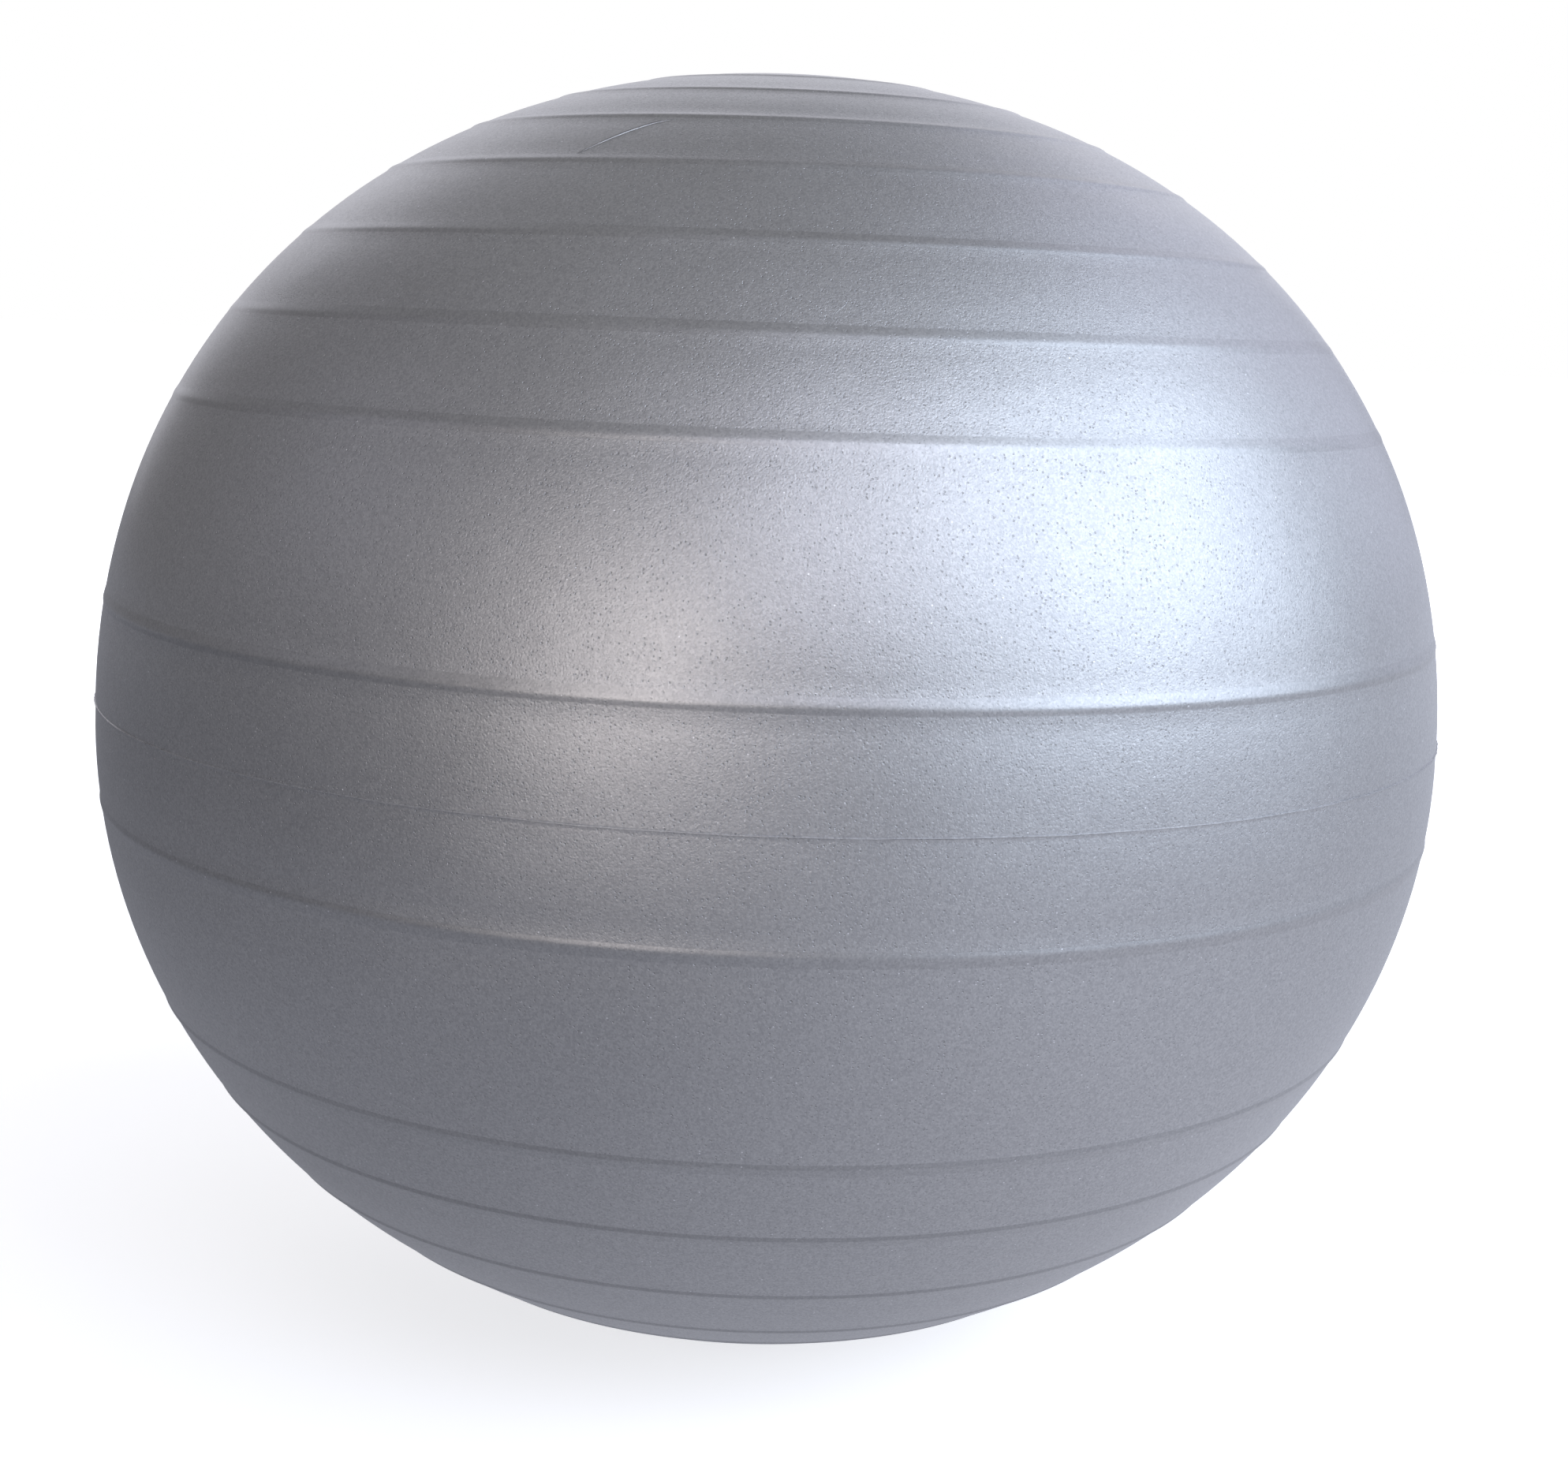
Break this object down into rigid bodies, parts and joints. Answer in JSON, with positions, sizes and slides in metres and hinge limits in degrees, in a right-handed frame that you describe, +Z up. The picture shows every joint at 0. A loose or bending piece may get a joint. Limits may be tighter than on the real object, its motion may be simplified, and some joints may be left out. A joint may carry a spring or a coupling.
{
  "type": "exercise ball",
  "caption": "Ribbed inflatable exercise ball with a parting line round its middle, a moulded-in valve seat and a push-in plug that pulls out.",
  "frame": {"origin": "centre of the flat foot on which the ball rests, on the floor", "axes": "+Z is up, along the axis of the moulded ribs and at right angles to the parting line; +Y points from that axis towards the valve; the smooth side without a valve faces -Y"},
  "size_m": [0.6615, 0.6616, 0.6174],
  "materials": {
    "skin": "satin",
    "valve_insert": "satin",
    "plug": "satin"
  },
  "bodies": {
    "ball": {"ball_shell": "skin", "valve_seat": "valve_insert"},
    "plug": {"valve_plug": "plug"}
  },
  "joints": [
    {"name": "plug_pull", "type": "slide", "parent": "ball", "child": "plug", "axis": [0, 0.9455, 0.3258], "range_m": [0, 0.04]}
  ]
}
